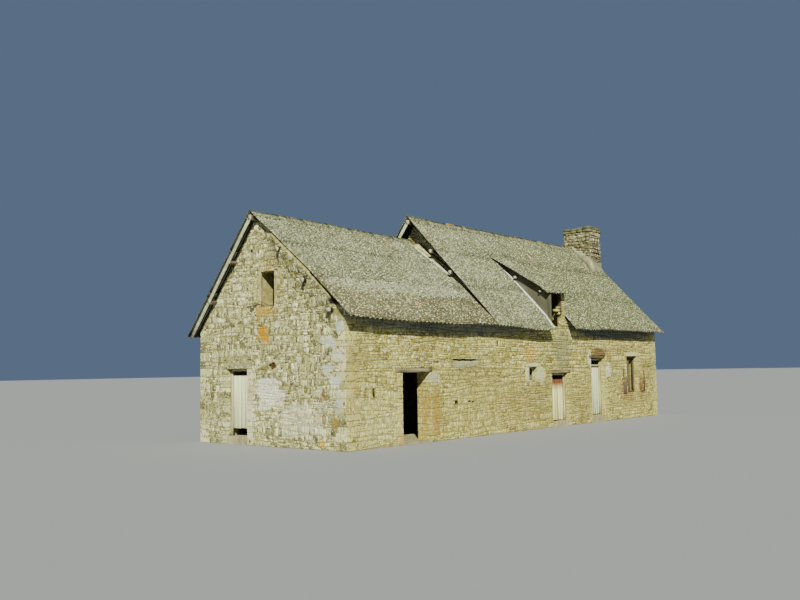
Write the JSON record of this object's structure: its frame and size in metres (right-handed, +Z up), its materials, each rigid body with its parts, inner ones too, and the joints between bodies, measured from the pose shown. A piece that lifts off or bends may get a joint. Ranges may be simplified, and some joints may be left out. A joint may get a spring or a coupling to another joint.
{
  "type": "stone farmhouse with corrugated sheet roof",
  "caption": "Long rubble-stone farmhouse: a low byre and a taller house in one row, corrugated sheet roofs, a shed dormer, a gable chimney and plank doors that open inwards.",
  "frame": {"origin": "middle of the whole building's plan, on the lowest ground", "axes": "+X along the front wall from the byre's gable to the chimney gable, +Y from the front to the back, +Z up"},
  "size_m": [18.73, 6.7056, 8.12],
  "materials": {
    "rubble_stone": "weathered pale rubble stone in lime and earth mortar, yellow-ochre in places, with lichen",
    "dressed_stone": "weathered dressed stone, pale, lichened",
    "corrugated_sheet": "old fibre-cement sheet, grey-beige, mottled with lichen and moss",
    "flat_sheet": "flat fibre-cement sheet, grey-brown, matt",
    "old_timber": "grey-brown weathered oak",
    "door_boards": "planks in pale worn paint over orange-brown wood",
    "iron": "rusted wrought iron",
    "moss": "dry moss and orange lichen",
    "earth_floor": "beaten earth and stone"
  },
  "bodies": {
    "house": {"front_wall_left_end": "rubble_stone", "front_wall_over_byre_door": "rubble_stone", "front_wall_middle": "rubble_stone", "front_wall_over_stable_door": "rubble_stone", "front_wall_between_doors": "rubble_stone", "front_wall_over_house_door": "rubble_stone", "front_wall_right_end": "rubble_stone", "back_wall": "rubble_stone", "left_gable_wall_front_side": "rubble_stone", "left_gable_wall_back_side": "rubble_stone", "left_gable_wall_upper": "rubble_stone", "cross_gable_wall": "rubble_stone", "right_gable_wall": "rubble_stone", "chimney_stack": "rubble_stone", "dormer_pier": "rubble_stone", "small_window_lintel": "dressed_stone", "tall_window_lintel": "dressed_stone", "gable_door_lintel": "dressed_stone", "chimney_cap": "dressed_stone", "byre_door_lintel": "old_timber", "stable_door_lintel": "old_timber", "house_door_lintel": "old_timber", "byre_loft_floor": "old_timber", "house_loft_floor": "old_timber", "byre_roof_timbers": "old_timber", "house_roof_timbers": "old_timber", "tall_window_frame": "old_timber", "stable_door_frame": "old_timber", "house_door_frame": "old_timber", "gable_door_frame": "old_timber", "byre_roof_front_lower": "corrugated_sheet", "byre_roof_front_upper": "corrugated_sheet", "byre_roof_back": "corrugated_sheet", "house_roof_front_left": "corrugated_sheet", "house_roof_over_dormer": "corrugated_sheet", "house_roof_front_right": "corrugated_sheet", "house_roof_back": "corrugated_sheet", "byre_ridge_cap": "corrugated_sheet", "house_ridge_cap": "corrugated_sheet", "dormer_roof": "corrugated_sheet", "dormer_left_cheek": "flat_sheet", "dormer_right_cheek": "flat_sheet", "byre_ground_floor": "earth_floor", "house_ground_floor": "earth_floor", "small_window_frame": "old_timber"},
    "stable_door": {"stable_door_leaf": "door_boards"},
    "house_door": {"house_door_leaf": "door_boards"},
    "gable_door": {"gable_door_leaf": "door_boards"}
  },
  "joints": [
    {"name": "stable_door_swing", "type": "hinge", "parent": "house", "child": "stable_door", "pos_m": [0.973, -2.7165, 0], "axis": [0, 0, 1], "range_deg": [0, 90]},
    {"name": "house_door_swing", "type": "hinge", "parent": "house", "child": "house_door", "pos_m": [3.763, -2.7165, 0], "axis": [0, 0, 1], "range_deg": [0, 90]},
    {"name": "gable_door_swing", "type": "hinge", "parent": "house", "child": "gable_door", "pos_m": [-8.849, 1.8195, 0], "axis": [0, 0, 1], "range_deg": [0, 90]}
  ]
}
